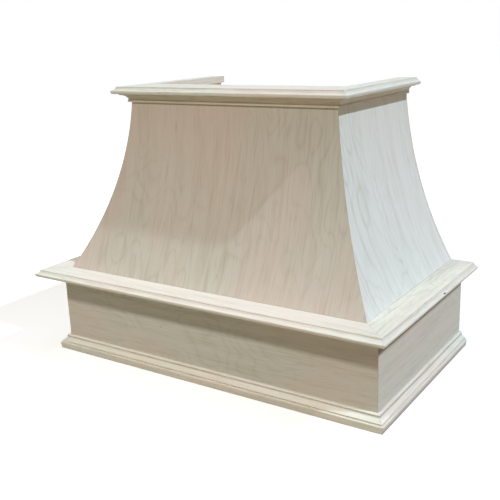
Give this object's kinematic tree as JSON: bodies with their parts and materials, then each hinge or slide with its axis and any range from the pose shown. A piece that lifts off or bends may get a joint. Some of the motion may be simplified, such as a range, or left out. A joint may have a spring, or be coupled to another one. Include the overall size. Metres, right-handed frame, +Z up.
{
  "type": "range hood cover",
  "caption": "Bell-shaped wooden range hood cover: a straight apron, a mitred ledge, curved panels on inner ribs and a moulded crown, open at the back and top for the duct.",
  "frame": {"origin": "centre of the bounding box on the plane of the apron's lower edge", "axes": "+X to the right along the front, +Y towards the wall, +Z up"},
  "size_m": [0.998, 0.583, 0.697],
  "materials": {
    "maple_veneer": "unfinished sanded maple veneer plywood",
    "solid_maple": "unfinished sanded solid maple moulding",
    "frame_plywood": "unfinished birch plywood"
  },
  "bodies": {
    "root": {"centre_front_rib": "frame_plywood", "crown_backer": "solid_maple", "front_apron": "maple_veneer", "front_base_mould": "solid_maple", "front_bottom_rail": "frame_plywood", "front_crown_cap": "solid_maple", "front_crown_cove": "solid_maple", "front_ledge": "solid_maple", "front_ledger": "frame_plywood", "front_panel": "maple_veneer", "front_top_rail": "frame_plywood", "left_apron": "maple_veneer", "left_base_mould": "solid_maple", "left_bottom_rail": "frame_plywood", "left_corner_block": "frame_plywood", "left_crown_cap": "solid_maple", "left_crown_cove": "solid_maple", "left_edge_strip": "solid_maple", "left_front_rib": "frame_plywood", "left_hip_rib": "frame_plywood", "left_ledge": "solid_maple", "left_ledger": "frame_plywood", "left_middle_rib": "frame_plywood", "left_panel": "maple_veneer", "left_top_rail": "frame_plywood", "left_wall_rib": "frame_plywood", "lower_wall_rail": "frame_plywood", "rear_ledger": "frame_plywood", "right_apron": "maple_veneer", "right_base_mould": "solid_maple", "right_bottom_rail": "frame_plywood", "right_corner_block": "frame_plywood", "right_crown_cap": "solid_maple", "right_crown_cove": "solid_maple", "right_edge_strip": "solid_maple", "right_front_rib": "frame_plywood", "right_hip_rib": "frame_plywood", "right_ledge": "solid_maple", "right_ledger": "frame_plywood", "right_middle_rib": "frame_plywood", "right_panel": "maple_veneer", "right_top_rail": "frame_plywood", "right_wall_rib": "frame_plywood", "upper_wall_rail": "frame_plywood"}
  },
  "joints": []
}
